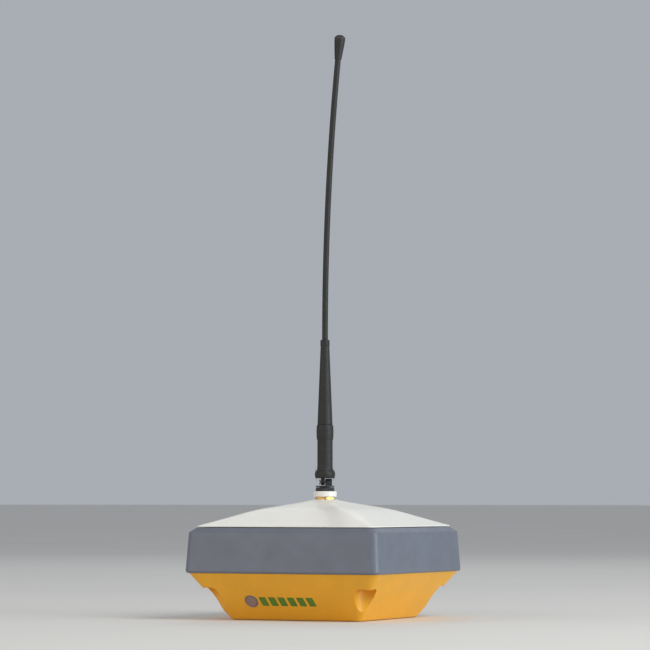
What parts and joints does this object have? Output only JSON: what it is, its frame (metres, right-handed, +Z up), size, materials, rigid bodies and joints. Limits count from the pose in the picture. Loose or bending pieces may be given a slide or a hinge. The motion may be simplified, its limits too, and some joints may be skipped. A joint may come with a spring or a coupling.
{
  "type": "gnss receiver",
  "caption": "Square pole-top satellite positioning receiver with white radome, grey band, amber base and folding whip antenna.",
  "frame": {"origin": "centre of the flat base, on the axis of the pole thread, at the thread's mouth", "axes": "+Z up along the pole axis and the whip; -Y is the face with the power button and indicators; +X to the right seen from the front"},
  "size_m": [0.15, 0.15, 0.4193],
  "materials": {
    "radome_white": "satin",
    "band_grey": "fine textured satin",
    "housing_amber": "fine textured satin",
    "black_plastic": "matte",
    "black_rubber": "matte",
    "grey_button": "matte",
    "indicator_green": "gloss",
    "steel": "satin",
    "aluminium": "satin",
    "brass": "satin",
    "board_green": "satin",
    "laminate_tan": "satin",
    "ceramic_ivory": "matte",
    "cell_wrap": "satin",
    "cable_brown": "satin",
    "whip_rubber": "matte",
    "label_silver": "satin",
    "lamp_cream": "gloss"
  },
  "bodies": {
    "receiver": {"radome": "radome_white", "bumper_band": "band_grey", "lower_housing": "housing_amber", "body_gaskets": "black_rubber", "housing_screws": "steel", "pole_insert": "brass", "insert_screws": "steel", "rating_plate": "label_silver", "button_bezel": "band_grey", "button_seal": "black_rubber", "light_guide": "indicator_green", "led_board": "board_green", "led_chips": "lamp_cream", "tact_switch": "steel", "port_plate": "black_plastic", "port_plate_screws": "steel", "power_port": "steel", "data_port": "steel", "port_nuts": "steel", "port_cores": "black_plastic", "cap_hinge_pins": "steel", "card_bay": "black_plastic", "card_door_pin": "steel", "door_seal": "black_rubber", "sim_card": "ceramic_ivory", "memory_card": "black_plastic", "main_board": "board_green", "standoffs": "brass", "inner_screws": "steel", "gnss_module": "steel", "cellular_module": "steel", "radio_module": "aluminium", "tilt_sensor": "black_plastic", "buzzer": "black_plastic", "power_coils": "black_plastic", "chassis_plate": "aluminium", "ground_plane": "laminate_tan", "antenna_puck": "ceramic_ivory", "antenna_patch": "brass", "amplifier_shield": "steel", "wireless_antenna": "board_green", "battery_cells": "cell_wrap", "battery_cradle": "black_plastic", "battery_clamp": "steel", "coax_pigtail": "cable_brown", "antenna_jack": "brass", "jack_nut": "steel", "weather_ring": "radome_white", "jack_core": "brass"},
    "power_button": {"power_button": "grey_button"},
    "card_door": {"card_door": "housing_amber"},
    "power_cap": {"power_port_cap": "black_rubber"},
    "data_cap": {"data_port_cap": "black_rubber"},
    "coupling_nut": {"coupling_nut": "black_plastic"},
    "elbow_foot": {"lower_knuckle": "black_plastic", "elbow_pin": "steel"},
    "antenna": {"whip_base": "black_plastic", "lock_ring": "whip_rubber", "whip_sleeve": "whip_rubber", "whip": "whip_rubber"}
  },
  "joints": [
    {"name": "power_button_press", "type": "slide", "parent": "receiver", "child": "power_button", "axis": [0, 0.8239, 0.5667], "range_m": [0, 0.0008], "stiffness_N_per_m": 1500},
    {"name": "card_door_hinge", "type": "hinge", "parent": "receiver", "child": "card_door", "pos_m": [-0.06498, 0, 0.02281], "axis": [0, 1, 0], "range_deg": [0, 100]},
    {"name": "power_cap_hinge", "type": "hinge", "parent": "receiver", "child": "power_cap", "pos_m": [-0.016, 0.06688, 0.02029], "axis": [1, 0, 0], "range_deg": [0, 120]},
    {"name": "data_cap_hinge", "type": "hinge", "parent": "receiver", "child": "data_cap", "pos_m": [0.016, 0.06688, 0.02029], "axis": [1, 0, 0], "range_deg": [0, 120]},
    {"name": "coupling_nut_turn", "type": "hinge", "parent": "receiver", "child": "coupling_nut", "pos_m": [0, 0, 0.0908], "axis": [0, 0, 1], "continuous": true},
    {"name": "antenna_swivel", "type": "hinge", "parent": "receiver", "child": "elbow_foot", "pos_m": [0, 0, 0.0971], "axis": [0, 0, 1], "continuous": true},
    {"name": "antenna_elbow", "type": "hinge", "parent": "elbow_foot", "child": "antenna", "pos_m": [0, 0, 0.0971], "axis": [-0.9063, -0.4226, 0], "range_deg": [0, 90]}
  ]
}
